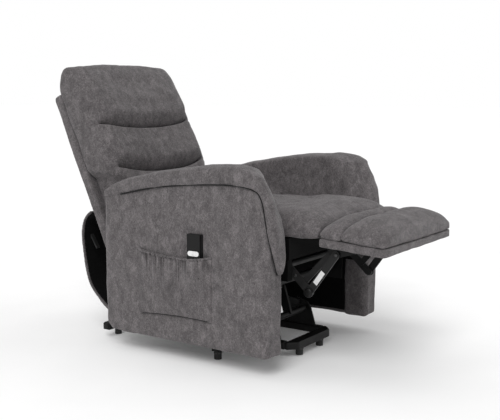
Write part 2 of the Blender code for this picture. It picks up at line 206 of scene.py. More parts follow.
def plated(name, level, roughness, stretch):
    """Bright steel with drawn lines."""
    s = Shader(name, roughness, metallic=1.0)
    lines = s.noise(180.0, 3.0, 0.6, stretch)
    s.color(s.ramp(lines, ((0.3, level * 0.8), (0.7, level * 1.1))))
    s.roughness(s.ramp(lines, ((0.3, roughness - 0.06), (0.7, roughness + 0.14))))
    s.bump(lines, 0.0003, 0.25)
    return s.mat


def plastic(name, level, roughness, coat=0.0, specular=0.5):
    """Moulded plastic with a spark-eroded grain and faint handling wear."""
    s = Shader(name, roughness, coat=coat, specular=specular)
    grain = s.noise(1600.0, 2.0, 0.5)
    wear = s.noise(60.0, 4.0, 0.6)
    s.color(s.ramp(wear, ((0.3, level * 0.92), (0.7, level * 1.06))))
    s.roughness(s.ramp(wear, ((0.35, max(roughness - 0.08, 0.05)), (0.7, roughness + 0.06))))
    s.bump(grain, 0.0002, 0.3)
    return s.mat


def timber(name):
    """Bare board with a long grain."""
    s = Shader(name, 0.7, specular=0.3)
    grain = s.noise(30.0, 6.0, 0.65, (1.0, 6.0, 6.0), 0.8)
    s.color(s.ramp(grain, ((0.3, (0.30, 0.19, 0.10)), (0.7, (0.46, 0.32, 0.18)))))
    s.bump(grain, 0.0006, 0.4)
    return s.mat


M_ARM = fabric("cloth_arm", 0.116, (1.0, 1.0, 0.7))
# The pocket's cloth gets painted pleat shade and light, fading in above 0.312 m
M_POCKET = fabric("cloth_pocket", 0.114, (1.0, 1.0, 0.7), (0.312, 0.045))
M_BACK = fabric("cloth_back", 0.110, (1.0, 0.9, 0.75))
M_SEAT = fabric("cloth_seat", 0.112, (0.75, 1.0, 1.0))
# Black lining, set darker than its own black as painted shade of the parts under the seat and between the
# arms
M_LINING_AND_SHADE = lining("cloth_lining_and_shade", 0.0025)
# Near-black cord for stitching, and for the painted shadow along the arm seams and the tucks
M_THREAD_AND_SEAM_SHADE = lining("thread_and_seam_shade", 0.016)
# Black and grey steel, set darker than their own colour as painted shade of the mechanism under the seat
M_BLACK_STEEL_AND_SHADE = paint("powder_black_and_shade", 0.0025, 0.5)
M_LINK_STEEL_AND_SHADE = paint("powder_grey_and_shade", 0.015, 0.45)
M_BRIGHT = plated("rod_steel", 0.62, 0.24, (8.0, 1.0, 1.0))
M_RIVET = plated("rivet_steel", 0.09, 0.45, (1.0, 1.0, 1.0))
M_RUBBER = plastic("rubber_foot", 0.016, 0.75)
M_PLASTIC = plastic("plastic_black", 0.006, 0.42, 0.0, 0.22)
M_WHITE = plastic("plastic_white", 0.78, 0.32, 0.2)
M_LABEL = plastic("label_blank", 0.72, 0.5)
M_WOOD = timber("board_wood")

SLOT_MATERIALS = {
    "black_steel": M_BLACK_STEEL_AND_SHADE, "link_steel": M_LINK_STEEL_AND_SHADE, "bright_rod": M_BRIGHT, "rubber": M_RUBBER,
    "black_plastic": M_PLASTIC, "white_plastic": M_WHITE, "frame_wood": M_WOOD, "lining": M_LINING_AND_SHADE,
    "lined_board": M_LINING_AND_SHADE, "upholstery": M_ARM,
}

# ---------------------------------------------------------------- mesh tools


def lean(s, t):
    """Side-view (y, z) of a point of the back: s up along it, t forward of it."""
    return (
        BACK_PIVOT[0] + s * math.sin(BACK_LEAN) - t * math.cos(BACK_LEAN),
        BACK_PIVOT[1] + s * math.cos(BACK_LEAN) + t * math.sin(BACK_LEAN),
    )


def to_back(co):
    """(s, t) of points."""
    y, z = co[:, 1] - BACK_PIVOT[0], co[:, 2] - BACK_PIVOT[1]
    sin, cos = math.sin(BACK_LEAN), math.cos(BACK_LEAN)
    return y * sin + z * cos, z * sin - y * cos


def from_back(co, s, t):
    """Puts points back in place from their (s, t)."""
    co[:, 1] = BACK_PIVOT[0] + s * math.sin(BACK_LEAN) - t * math.cos(BACK_LEAN)
    co[:, 2] = BACK_PIVOT[1] + s * math.cos(BACK_LEAN) + t * math.sin(BACK_LEAN)


def prism(outline, low, high):
    """A (y, z) outline between two x values."""
    bm = bmesh.new()
    near = [bm.verts.new((low, y, z)) for y, z in outline]
    far = [bm.verts.new((high, y, z)) for y, z in outline]
    bm.faces.new(near)
    bm.faces.new(far[::-1])
    for i in range(len(outline)):
        j = (i + 1) % len(outline)
        bm.faces.new((near[i], far[i], far[j], near[j]))
    bmesh.ops.recalc_face_normals(bm, faces=bm.faces)
    return bm


def loft(rings):
    """Closed rings of equal length joined in order, with capped ends."""
    bm = bmesh.new()
    rows = [[bm.verts.new(p) for p in ring] for ring in rings]
    for a, b in zip(rows, rows[1:]):
        for i in range(len(a)):
            j = (i + 1) % len(a)
            bm.faces.new((a[i], a[j], b[j], b[i]))
    bm.faces.new(rows[0][::-1])
    bm.faces.new(rows[-1])
    bmesh.ops.recalc_face_normals(bm, faces=bm.faces)
    return bm


def piece(name, forms, mat, body, replaces=(), smooth=True):
    """One object from bmeshes, riding on a body."""
    mesh = bpy.data.meshes.new(name)
    whole = bmesh.new()
    for bm in forms:
        part = bpy.data.meshes.new("part")
        bm.to_mesh(part)
        bm.free()
        whole.from_mesh(part)
        bpy.data.meshes.remove(part)
    whole.to_mesh(mesh)
    whole.free()
    mesh.materials.append(mat)
    obj = bpy.data.objects.new(name, mesh)
    bpy.context.scene.collection.objects.link(obj)
    if smooth:
        mesh.shade_smooth()
    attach(obj, body)
    if replaces:
        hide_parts(*replaces)
    return obj


def settle(obj):
    """Applies the modifiers."""
    depsgraph = bpy.context.evaluated_depsgraph_get()
    mesh = bpy.data.meshes.new_from_object(obj.evaluated_get(depsgraph))
    obj.modifiers.clear()
    old = obj.data
    obj.data = mesh
    mesh.name = obj.name
    bpy.data.meshes.remove(old)
    mesh.shade_smooth()


def remesh(obj, voxel, rounds):
    """Even voxel mesh, smoothed a few rounds so that hard edges become padded ones."""
    mod = obj.modifiers.new("voxels", "REMESH")
    mod.mode = "VOXEL"
    mod.voxel_size = voxel
    if rounds:
        mod = obj.modifiers.new("soften", "SMOOTH")
        mod.factor = 0.5
        mod.iterations = rounds
    settle(obj)


def relax(obj, rounds):
    """Smooths a mesh in place."""
    mod = obj.modifiers.new("soften", "SMOOTH")
    mod.factor = 0.5
    mod.iterations = rounds
    settle(obj)


def points(obj):
    """The mesh's points as rows of x, y and z."""
    co = np.empty(len(obj.data.vertices) * 3)
    obj.data.vertices.foreach_get("co", co)
    return co.reshape(-1, 3)


def normals(obj):
    """The mesh's point normals as rows."""
    out = np.empty(len(obj.data.vertices) * 3)
    obj.data.vertex_normals.foreach_get("vector", out)
    return out.reshape(-1, 3)


def put(obj, co):
    """Writes points back to the mesh."""
    obj.data.vertices.foreach_set("co", co.ravel())
    obj.data.update()


def bell(value, middle, width):
    """1 at the middle, fading out on both sides."""
    return np.exp(-(((value - middle) / width) ** 2))


def ramp(value, low, high):
    """Smooth rise from 0 at low to 1 at high."""
    x = np.clip((value - low) / (high - low), 0.0, 1.0)
    return x * x * (3 - 2 * x)


def ripple(obj, size, depth, stretch=(1, 1, 1), seed=0.0, mask=None):
    """Uneven stuffing: smooth noise along the normals."""
    co, out = points(obj), normals(obj)
    scale = np.array(stretch) / size
    lift = np.array([noise.noise(Vector(p) + Vector((seed, seed, seed))) for p in co * scale])
    lift = lift * depth
    if mask is not None:
        lift = lift * mask(co)
    put(obj, co + out * lift[:, None])


def distance_to(co, path):
    """Distance of each point to a polyline."""
    path = np.array(path)
    best = np.full(len(co), 1e9)
    for a, b in zip(path, path[1:]):
        ab = b - a
        k = np.clip(((co - a) @ ab) / (ab @ ab), 0, 1)
        best = np.minimum(best, np.linalg.norm(co - a - k[:, None] * ab, axis=1))
    return best


def groove(obj, path, width, depth):
    """A sewn seam: the cloth dips to the seam."""
    co, out = points(obj), normals(obj)
    d = distance_to(co, path)
    put(obj, co - out * (depth * np.exp(-((d / width) ** 2)))[:, None])


def tube(name, path, radius, mat, body, sides=8):
    """A thin round strip along a path, as piping, stitching, wire or a dark line of painted seam shade."""
    path = [Vector(p) for p in path]
    rings = []
    for i, p in enumerate(path):
        way = (path[min(i + 1, len(path) - 1)] - path[max(i - 1, 0)]).normalized()
        side = way.orthogonal().normalized() if i == 0 else (side - way * side.dot(way)).normalized()
        up = way.cross(side)
        rings.append([
            p + (side * math.cos(2 * math.pi * k / sides) + up * math.sin(2 * math.pi * k / sides)) * radius
            for k in range(sides)
        ])
    return piece(name, [loft(rings)], mat, body)


def curve_points(corners, steps=8):
    """A smooth line through a few points."""
    pts = [Vector(c) for c in corners]
    pts = [pts[0] * 2 - pts[1], *pts, pts[-1] * 2 - pts[-2]]
    out = []
    for a, b, c, d in zip(pts, pts[1:], pts[2:], pts[3:]):
        for i in range(steps):
            t = i / steps
            out.append(0.5 * (
                b * 2 + (c - a) * t + (a * 2 - b * 5 + c * 4 - d) * t * t + (b * 3 - a - c * 3 + d) * t ** 3
            ))
    out.append(pts[-2])
    return out


def lathe(profile, centre, axis, sides=24):
    """A round form: (distance along the axis, radius) pairs about a centre."""
    turn = Vector(axis).normalized().to_track_quat("Z", "Y").to_matrix()
    rings = [[
        Vector(centre) + turn @ Vector((
            r * math.cos(2 * math.pi * k / sides), r * math.sin(2 * math.pi * k / sides), h,
        ))
        for k in range(sides)
    ] for h, r in profile]
    return loft(rings)


# ---------------------------------------------------------------- arms

# Side-view (y, z) of the seam under the cap, front to rear, and of the cap's outside, rear to front
SEAM = [
    (-0.352, 0.347), (-0.345, 0.431), (-0.335, 0.524), (-0.318, 0.585), (-0.285, 0.612),
    (-0.200, 0.621), (-0.080, 0.616), (0.050, 0.604), (0.150, 0.589), (0.275, 0.562), (0.355, 0.545),
]
CREST = [
    (0.357, 0.598), (0.311, 0.609), (0.207, 0.626), (0.094, 0.649), (-0.058, 0.671), (-0.200, 0.680),
    (-0.260, 0.673), (-0.305, 0.648), (-0.335, 0.600), (-0.353, 0.553), (-0.363, 0.475),
    (-0.367, 0.391), (-0.364, 0.347),
]
# Front strip of the cap: height, inner x, outer x
STRIP = [
    (0.640, 0.264, 0.388), (0.600, 0.264, 0.388), (0.560, 0.270, 0.388), (0.520, 0.285, 0.387),
    (0.480, 0.298, 0.380), (0.440, 0.302, 0.369), (0.400, 0.303, 0.359), (0.370, 0.306, 0.350),
    (0.350, 0.313, 0.342), (0.338, 0.321, 0.334),
]
# The front strip's face and the seam behind it, as side-view (y, z)
FRONT_FACE = [
    (-0.364, 0.330), (-0.367, 0.391), (-0.363, 0.475), (-0.353, 0.553), (-0.335, 0.600), (-0.305, 0.648),
]
FRONT_SEAM = [(-0.340, 0.330), (-0.337, 0.431), (-0.327, 0.524), (-0.308, 0.585), (-0.270, 0.640)]
PANEL_FRONT = -0.344
POST_REAR = -0.252


def along_profile(profile, z):
    """y of the arm's front at a height, from (y, z) points."""
    rows = sorted((b, a) for a, b in profile)
    return float(np.interp(z, [r[0] for r in rows], [r[1] for r in rows]))


def round_corner(co, facing, wall, front, radius):
    """Keeps points inside a rounded front corner, seen from above, whose side wall faces -X or +X."""
    u = radius - np.maximum((wall - co[:, 0]) * facing, 0)
    v = radius - np.maximum(co[:, 1] - front, 0)
    reach = np.hypot(u, v)
    past = (u > 0) & (v > 0) & (reach > radius)
    k = np.where(past, radius / np.maximum(reach, 1e-6), 1.0)
    co[:, 0] = np.where(past, wall - facing * (radius - u * k), co[:, 0])
    co[:, 1] = np.where(past, front + radius - v * k, co[:, 1])


def build_arm(side, end):
    panel = build_arm_panel(side, end)
    build_arm_cap(side, end)
    build_arm_liner(side, end)
    build_arm_seam_and_shadow(side, end, panel)


def build_arm_panel(side, end):
    """Outer panel, wrapped round the front post."""
    outline = [(PANEL_FRONT, 0.200), (PANEL_FRONT, 0.350)]
    outline += [(y + 0.002, z + 0.010) for y, z in SEAM[1:]]
    outline += [(0.357, 0.552), (0.357, 0.093), (0.331, 0.067), (PANEL_FRONT + 0.006, 0.067)]
    post = [
        (PANEL_FRONT, 0.067), (PANEL_FRONT, 0.350), (-0.335, 0.500), (-0.316, 0.580), (POST_REAR, 0.600),
        (POST_REAR, 0.067),
    ]
    panel = piece(
        "arm_panel_" + end,
        [prism(outline, side * 0.3060, side * 0.3840), prism(post, side * 0.2885, side * 0.3200)],
        M_ARM, "chassis", ("arm_body_" + end,),
    )
    remesh(panel, 0.0055, 9)
    co = points(panel)
    out = normals(panel)
    y, z = co[:, 1], co[:, 2]
    face = np.clip(side * out[:, 0], 0, 1) ** 2
    belly = np.clip((y + 0.345) * (0.352 - y) / 0.121, 0, 1) * np.clip((z - 0.07) * (0.61 - z) / 0.073, 0, 1)
    flat = 1.0
    if side < 0:  # the pocket and the handset lie on this panel
        flat = 1 - ramp(y, -0.19, -0.13) * ramp(-y, -0.25, -0.20) * ramp(-z, -0.62, -0.59)
    co[:, 0] += side * face * flat * (0.0050 * belly ** 0.5)
    round_corner(co, -side, side * 0.2885, PANEL_FRONT - 0.001, 0.030)
    round_corner(co, side, side * 0.3850, PANEL_FRONT - 0.001, 0.028)
    # Long slack folds that run down the front third
    folds = np.sin((y + 0.22 * (z - 0.35)) * 58.0) * bell(y, -0.24, 0.09) * bell(z, 0.30, 0.22)
    folds += 0.8 * np.sin((y - 0.5 * (z - 0.3)) * 70.0) * bell(y, -0.17, 0.05) * bell(z, 0.29, 0.07)
    co[:, 0] += side * face * (0.0013 * folds * (0.3 + 0.7 * flat) - 0.0009 * (1 - flat))
    put(panel, co)
    ripple(panel, 0.085, 0.0035, (1, 1, 0.7), 3.0 + side, lambda co: flat * 0.9 + 0.1)
    ripple(panel, 0.030, 0.0012, (1, 1, 0.8), 7.0 + side, lambda co: flat * 0.7 + 0.3)
    return panel


def build_arm_cap(side, end):
    """Padded cap over the top, down the inner face and in a strip down the front."""
    top = SEAM[3:] + [(0.357, 0.565), (0.352, 0.583), (0.338, 0.597)] + CREST[1:9]
    inner = [
        (-0.330, 0.430), (-0.330, 0.560), (-0.300, 0.630), (-0.200, 0.650), (0.350, 0.575), (0.350, 0.430),
    ]
    rings = []
    for z, low, high in STRIP:
        front, rear = along_profile(FRONT_FACE, z), along_profile(FRONT_SEAM, z) + 0.004
        rings.append([
            (side * low, rear, z), (side * high, rear, z), (side * high, front + 0.004, z),
            (side * (high - 0.006), front, z), (side * (low + 0.006), front, z),
            (side * low, front + 0.004, z),
        ])
    cap = piece(
        "arm_pad_" + end,
        [prism(top, side * 0.2635, side * 0.3895), prism(inner, side * 0.2645, side * 0.3060), loft(rings)],
        M_ARM, "chassis", ("arm_cap_" + end,),
    )
    remesh(cap, 0.005, 9)
    co = points(cap)
    out = normals(cap)
    crown = np.clip(out[:, 2], 0, 1) ** 2 * np.clip(1 - ((np.abs(co[:, 0]) - 0.326) / 0.064) ** 2, 0, 1)
    co[:, 2] += 0.008 * crown * (1 - ramp(co[:, 1], 0.20, 0.30))
    front = np.interp(co[:, 2], [z for _, z in FRONT_FACE], [y for y, _ in FRONT_FACE])
    high = ramp(co[:, 2], 0.46, 0.60)
    round_corner(co, -side, side * 0.264, front, 0.012 + 0.058 * high)
    round_corner(co, side, side * 0.3900, front, 0.004 + 0.036 * ramp(co[:, 2], 0.40, 0.50))
    # The front slants back toward the inner side
    slant = ramp(0.365 - np.abs(co[:, 0]), 0.0, 0.100) * ramp(-co[:, 1], 0.12, 0.30)
    co[:, 1] += 0.034 * slant * ramp(co[:, 2], 0.44, 0.56)
    co[:, 2] -= 0.006 * slant * ramp(co[:, 2], 0.60, 0.67)
    co[:, 2] -= 0.016 * ramp(co[:, 1], 0.24, 0.36) * ramp(co[:, 2], 0.565, 0.60)
    put(cap, co)
    relax(cap, 5)
    ripple(cap, 0.070, 0.0030, (1, 0.8, 1), 11.0 + side, lambda co: 1 - ramp(co[:, 1], 0.20, 0.30))
    ripple(cap, 0.024, 0.0010, (1, 1, 1), 13.0 + side)


def build_arm_liner(side, end):
    """Black cloth over the inner board."""
    board = [(POST_REAR - 0.004, 0.084), (POST_REAR - 0.004, 0.440), (0.330, 0.440), (0.330, 0.084)]
    liner = piece(
        "arm_liner_" + end, [prism(board, side * 0.2878, side * 0.3056)], M_LINING_AND_SHADE, "chassis",
        ("arm_frame_" + end,),
    )
    remesh(liner, 0.006, 3)
    ripple(liner, 0.05, 0.0022, (1, 1, 1), 21.0 + side)


def build_arm_seam_and_shadow(side, end, panel):
    """Seam where the cap meets the panel, up the front strip, then back along the side: a groove in the
    panel and a near-black cord along it as painted shadow of the seam.
    """
    path = [
        (side * (x + 0.0005), PANEL_FRONT - 0.004 + 0.35 * max(x - 0.352, 0), z)
        for z, _, x in STRIP[-1:2:-1]
    ]
    path += [(side * 0.3872, y - 0.001, z + 0.002) for y, z in SEAM[3:] if y < 0.32]
    path = curve_points(path, 5)
    groove(panel, path[:30], 0.006, 0.0035)
    # Near-black cord along the seam: painted shadow in the seam's crease
    tube("arm_seam_shadow_" + end, path, 0.0022, M_THREAD_AND_SEAM_SHADE, "chassis", 6)


# ---------------------------------------------------------------- pocket and handset


POCKET_FRONT, POCKET_REAR, POCKET_BOTTOM = -0.120, 0.193, 0.158
POCKET_CLOTH = 0.0022


def pocket_top(y):
    """Height of the sagging hem."""
    return 0.3640 + 0.0150 * ((y - 0.036) / 0.160) ** 2


def pocket_skin(u, v):
    """Outer point of the patch: u from front to rear, v from bottom to hem. x is how far out it lies."""
    y = POCKET_FRONT + (POCKET_REAR - POCKET_FRONT) * u
    top = pocket_top(y)
    low = POCKET_BOTTOM - 0.010 * u + 0.006 * math.sin(math.pi * u)
    z = low + (top - low) * v
    edge = min(u, 1 - u) * (POCKET_REAR - POCKET_FRONT)
    rise = 1 - math.exp(-edge / 0.012)
    rise *= 1 - math.exp(-(z - low) / 0.016)
    # The handset pushes the cloth out, and the elastic hem gathers it into pleats of uneven length
    handset = math.exp(-(((y + 0.060) / 0.048) ** 4)) * (1 / (1 + math.exp(-(z - 0.290) / 0.018)))
    bulge = 0.0045 + 0.0030 * math.sin(math.pi * u) * math.sin(math.pi * v) + 0.0150 * handset
    depth = 0.030 + 0.014 * math.sin(y * 61 + 0.6) + 0.008 * math.sin(y * 171)
    gather = math.exp(-max(0.0, top - z - 0.004) / depth)
    pleat = math.sin(y * 420 + 2.4 * math.sin(y * 74) + 6.0 * (top - z))
    wave = (abs(pleat) ** 0.7 * math.copysign(1, pleat)) * 0.0062 * gather * min(1, edge / 0.02)
    wave *= 1 - 0.55 * handset
    middle = math.sin(math.pi * v) ** 2 * math.exp(-((u - 0.75) / 0.35) ** 2)
    fold = math.sin((y + 0.35 * z) * 120 + 1.0) * 0.0012 * middle
    return 0.3846 + 0.0026 * (1 - math.exp(-edge / 0.003)) + (bulge + wave + fold) * rise, y, z


def build_pocket():
    columns, rows = 200, 84
    outer, inner = [], []
    for j in range(rows + 1):
        row = [pocket_skin(i / columns, j / rows) for i in range(columns + 1)]
        outer.append([(-x, y, z) for x, y, z in row])
        inner.append([(-(x - POCKET_CLOTH), y, z) for x, y, z in row])
    bm = bmesh.new()
    a = [[bm.verts.new(p) for p in row] for row in outer]
    b = [[bm.verts.new(p) for p in row] for row in inner]
    for j in range(rows):
        for i in range(columns):
            bm.faces.new((a[j][i], a[j][i + 1], a[j + 1][i + 1], a[j + 1][i]))
            bm.faces.new((b[j][i], b[j + 1][i], b[j + 1][i + 1], b[j][i + 1]))
    border = [(0, i) for i in range(columns)] + [(j, columns) for j in range(rows)]
    border += [(rows, i) for i in range(columns, 0, -1)] + [(j, 0) for j in range(rows, 0, -1)]
    for (j, i), (k, l) in zip(border, border[1:] + border[:1]):
        bm.faces.new((a[k][l], a[j][i], b[j][i], b[k][l]))
    bmesh.ops.recalc_face_normals(bm, faces=bm.faces)
    pocket = piece("pocket_patch", [bm], M_POCKET, "chassis", ("arm_pocket",))
    hem_path = []
    for x, y, z in outer[rows]:
        hem_path.append((x + 0.0006, y, z - 0.0012))
    hem = tube("pocket_hem", hem_path, 0.0038, M_ARM, "chassis")
    rear = [(-0.3868, POCKET_REAR - 0.004, 0.152 + 0.23 * k / 24) for k in range(25)]
    bottom = [outer[1][i] for i in range(8, columns - 6, 3)]
    for name, path, radius, mat in (
        ("pocket_stitch_rear", rear, 0.0026, M_ARM),
        ("pocket_stitch_bottom", bottom, 0.0014, M_THREAD_AND_SEAM_SHADE),
    ):
        tube(name, path, radius, mat, "chassis", 6)


def build_handset():
    low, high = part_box("handset_shell")
    shell = bpy.data.objects.new("handset_case", NODES["handset_shell"].data.copy())
    bpy.context.scene.collection.objects.link(shell)
    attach(shell, "handset")
    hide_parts("handset_shell")
    shell.data.materials.clear()
    shell.data.materials.append(M_PLASTIC)
    bevel = shell.modifiers.new("soften", "BEVEL")
    bevel.width, bevel.segments, bevel.limit_method = 0.0028, 4, "ANGLE"
    settle(shell)
    # Parting line round the case
    y0, y1, z0, z1, x = low.y, high.y, low.z, high.z, low.x + 0.0105
    ring = [(x, y0 - 0.0002, z0 + 0.003), (x, y0 - 0.0002, z1 - 0.003), (x, y0 + 0.003, z1 + 0.0002),
            (x, y1 - 0.003, z1 + 0.0002), (x, y1 + 0.0002, z1 - 0.003), (x, y1 + 0.0002, z0 + 0.003)]
    tube("handset_seam", ring, 0.0005, M_RUBBER, "handset", 6)


def build_buttons():
    """The two buttons make one pill, split in the middle."""
    for name, way in (("button_front", -1), ("button_rear", 1)):
        low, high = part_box(name)
        half, middle = (high.z - low.z) / 2, (high.z + low.z) / 2
        inner, outer = (high.y, low.y) if way < 0 else (low.y, high.y)
        outline = [(inner, low.z), (inner, high.z)]
        for k in range(13):
            turn = math.pi * k / 12
            outline.append((outer - way * half * (1 - math.sin(turn)), middle + half * math.cos(turn)))
        form = prism(outline, low.x, high.x)
        button = piece(
            name + "_cap", [form], M_WHITE, "handset_" + name, (name,), smooth=False,
        )
        bevel = button.modifiers.new("soften", "BEVEL")
        bevel.width, bevel.segments, bevel.limit_method = 0.0008, 3, "ANGLE"
        settle(button)


# ---------------------------------------------------------------- seat and footrest


def build_seat():
    outline = [
        (-0.452, 0.470), (-0.446, 0.452), (-0.345, 0.450), (-0.330, 0.4475), (0.310, 0.4475),
        (0.322, 0.460),
        (0.320, 0.490), (0.180, 0.509), (0.077, 0.520), (-0.054, 0.529), (-0.232, 0.538),
        (-0.340, 0.538), (-0.400, 0.532), (-0.440, 0.516), (-0.452, 0.500),
    ]
    seat = piece(
        "seat_pad", [prism(outline, -0.2575, 0.2575)], M_SEAT, "seat", ("seat_cushion",),
    )
    remesh(seat, 0.0055, 14)
    co, out = points(seat), normals(seat)
    x, y = co[:, 0], co[:, 1]
    up = ramp(out[:, 2], 0.0, 0.7)
    across = np.clip(1 - (x / 0.262) ** 4, 0, 1)
    crown = 0.010 * across * ramp(y, -0.46, -0.36) * (1 - 0.4 * ramp(y, -0.1, 0.3))
    # The sitting area is a shallow dish inside a horseshoe of firmer stuffing
    dish = 0.012 * np.exp(-((x / 0.17) ** 4)) * bell(y, -0.10, 0.16)
    valley = 0.009 * bell(np.hypot(x / 0.95, (y + 0.06) * 0.95), 0.190, 0.026) * ramp(-y, 0.02, 0.14)
    co[:, 2] += up * (crown - dish - valley)
    dome = np.clip(1 - (np.abs(x) / 0.2610) ** 8, 0.02, 1) ** 0.5
    co[:, 2] = np.where(co[:, 2] > 0.462, 0.462 + (co[:, 2] - 0.462) * dome, co[:, 2])
    put(seat, co)
    ripple(seat, 0.080, 0.0045, (0.7, 1, 1), 31.0)
    ripple(seat, 0.028, 0.0014, (0.8, 1, 1), 33.0)


def build_footrest():
    board_outline = [
        (-0.455, 0.4300), (-0.684, 0.4155), (-0.6935, 0.4230), (-0.6935, 0.4430), (-0.455, 0.4590),
    ]
    board = piece(
        "footrest_board", [prism(board_outline, -0.261, 0.261)], M_SEAT, "footrest",
        ("foot_board",),
    )
    remesh(board, 0.0045, 7)
    co = points(board)
    for facing, _ in SIDES:
        round_corner(co, facing, facing * FOOTREST_HALF, -0.694, 0.036)
    put(board, co)
    ripple(board, 0.050, 0.0018, (1, 1, 1), 41.0)
    under = [(-0.462, 0.4290), (-0.680, 0.4140), (-0.680, 0.4165), (-0.462, 0.4315)]
    dust_cover = piece("footrest_dust_cover", [prism(under, -0.250, 0.250)], M_LINING_AND_SHADE, "footrest")
    remesh(dust_cover, 0.003, 1)

    roll_outline = [
        (-0.459, 0.470), (-0.462, 0.4590), (-0.529, 0.4545), (-0.5345, 0.462), (-0.5345, 0.497),
        (-0.522, 0.511), (-0.498, 0.517), (-0.474, 0.511), (-0.459, 0.497),
    ]
    roll = piece(
        "footrest_roll", [prism(roll_outline, -FOOTREST_HALF, FOOTREST_HALF)], M_SEAT, "footrest",
        ("foot_roll",),
    )
    remesh(roll, 0.0045, 9)
    pad_outline = [
        (-0.5335, 0.466), (-0.5365, 0.4540), (-0.684, 0.4440), (-0.6925, 0.450), (-0.6925, 0.480),
        (-0.675, 0.504), (-0.630, 0.518), (-0.580, 0.521), (-0.548, 0.513), (-0.5335, 0.499),
    ]
    pad = piece(
        "footrest_pad", [prism(pad_outline, -FOOTREST_HALF, FOOTREST_HALF)], M_SEAT, "footrest",
        ("foot_pad",),
    )
    remesh(pad, 0.005, 11)
    for obj, middle, lift, seed in ((roll, -0.497, 0.006, 43.0), (pad, -0.608, 0.009, 45.0)):
        co, out = points(obj), normals(obj)
        up = ramp(out[:, 2], 0.0, 0.7)
        co[:, 2] += up * lift * bell(co[:, 1], middle, 0.06)
        # The ends fall away in a dome
        base = 0.4615 + (co[:, 1] + 0.530) * 0.065
        dome = np.clip(1 - (np.abs(co[:, 0]) / 0.2640) ** 4.5, 0.02, 1) ** 0.55
        co[:, 2] = np.where(co[:, 2] > base, base + (co[:, 2] - base) * dome, co[:, 2])
        for facing, _ in SIDES:
            round_corner(co, facing, facing * 0.2635, -0.694, 0.040)
        put(obj, co)
        relax(obj, 2)
        ripple(obj, 0.060, 0.0035, (0.7, 1, 1), seed)
        ripple(obj, 0.024, 0.0012, (0.8, 1, 1), seed + 1)


# ---------------------------------------------------------------- back

# Height up the back in the middle, half width, and rise at the ends
UPPER_TUCK = (0.469, 0.262, 0.030)
LOWER_TUCK = (0.288, 0.250, 0.032)


def tuck_height(x, tuck):
    """s of a smile-shaped tuck: lowest in the middle, rising to its ends."""
    middle, reach, rise = tuck
    return middle + rise * np.abs(x / reach) ** 2.4


def build_back():
    build_back_cushion()
    build_outer_panel()


def build_back_cushion():
    """One continuous cover over the low, middle and head pads."""
    outline = [lean(s, t) for s, t in (
        (0.030, -0.0590), (0.672, -0.0590), (0.700, -0.048), (0.728, -0.030), (0.741, -0.006),
        (0.741, 0.020), (0.726, 0.044), (0.685, 0.058), (0.600, 0.066), (0.530, 0.066), (0.470, 0.066),
        (0.400, 0.074), (0.289, 0.074), (0.230, 0.080), (0.205, 0.074), (0.186, 0.055), (0.186, 0.010),
        (0.150, -0.030), (0.030, -0.040),
    )]
    back = piece(
        "back_cushion", [prism(outline, -BACK_HALF, BACK_HALF)], M_BACK, "back",
        ("back_pad_low", "back_pad_mid", "back_pad_head"),
    )
    remesh(back, 0.0045, 20)
    bulge_back(back)
    narrow_back(back)
    ripple(back, 0.085, 0.0040, (0.8, 1, 1), 61.0)
    ripple(back, 0.028, 0.0012, (1, 1, 1), 63.0)
    for tuck, depth in ((UPPER_TUCK, 0.040), (LOWER_TUCK, 0.042)):
        tuck_back(back, tuck, depth)
    build_tuck_seam_shades(back)


def build_outer_panel():
    """The cover behind the back, with a sewn line near each side."""
    panel_outline = [lean(s, t) for s, t in (
        (-0.002, -0.1000), (0.655, -0.1000), (0.666, -0.090), (0.666, -0.0600), (0.030, -0.0600),
        (-0.002, -0.080),
    )]
    panel = piece(
        "back_outer_panel", [prism(panel_outline, -0.2910, 0.2910)], M_BACK, "back",
        ("back_panel",),
    )
    remesh(panel, 0.0055, 7)
    co, out = points(panel), normals(panel)
    s, t = to_back(co)
    rear = ramp(-(out[:, 1] * -math.cos(BACK_LEAN) + out[:, 2] * math.sin(BACK_LEAN)), 0.3, 0.9)
    t = t - rear * (0.006 * np.clip(1 - (co[:, 0] / 0.295) ** 4, 0, 1) * ramp(s, 0.26, 0.40))
    t = t + rear * 0.0025 * ramp(-s, -0.34, -0.28)
    from_back(co, s, t)
    put(panel, co)
    ripple(panel, 0.090, 0.0030, (1, 1, 0.7), 51.0, lambda co: 0.2 + 0.8 * ramp(co[:, 2], 0.56, 0.68))
    for x in (-0.262, 0.262):
        groove(panel, [(x, *lean(s, -0.106)) for s in np.linspace(0.0, 0.66, 24)], 0.007, 0.0035)


def bulge_back(back):
    """Arched top edge, soft sides and three bolsters."""
    co = points(back)
    x = co[:, 0]
    s, t = to_back(co)
    s = s + 0.016 * ramp(s, 0.55, 0.75) * np.clip(1 - (x / 0.300) ** 2, 0, 1)
    front = ramp(t, 0.0, 0.05)
    across = np.clip(1 - (np.abs(x) / 0.300) ** 5, 0, 1)
    upper, lower = tuck_height(x, UPPER_TUCK), tuck_height(x, LOWER_TUCK)
    t = t - front * 0.030 * ramp(np.abs(x), 0.215, 0.300) ** 1.5
    bulge = 0.018 * np.exp(-(((s - upper - 0.095) / 0.085) ** 2))
    bulge += 0.014 * np.exp(-(((s - (upper + lower) / 2 - 0.006) / 0.062) ** 2))
    bulge += 0.008 * np.exp(-(((s - lower + 0.06) / 0.050) ** 2))
    t = t + front * across * bulge
    from_back(co, s, t)
    put(back, co)


def narrow_back(back):
    """Narrower between the arms, so that it clears the caps when it is upright."""
    co = points(back)
    waist, core = 0.2590, 0.20
    wide = waist + 0.0330 * ramp(co[:, 2], 0.586, 0.630)
    past = np.maximum(np.abs(co[:, 0]) - core, 0)
    co[:, 0] -= np.sign(co[:, 0]) * past * (1 - (wide - core) / (BACK_HALF - core))
    put(back, co)


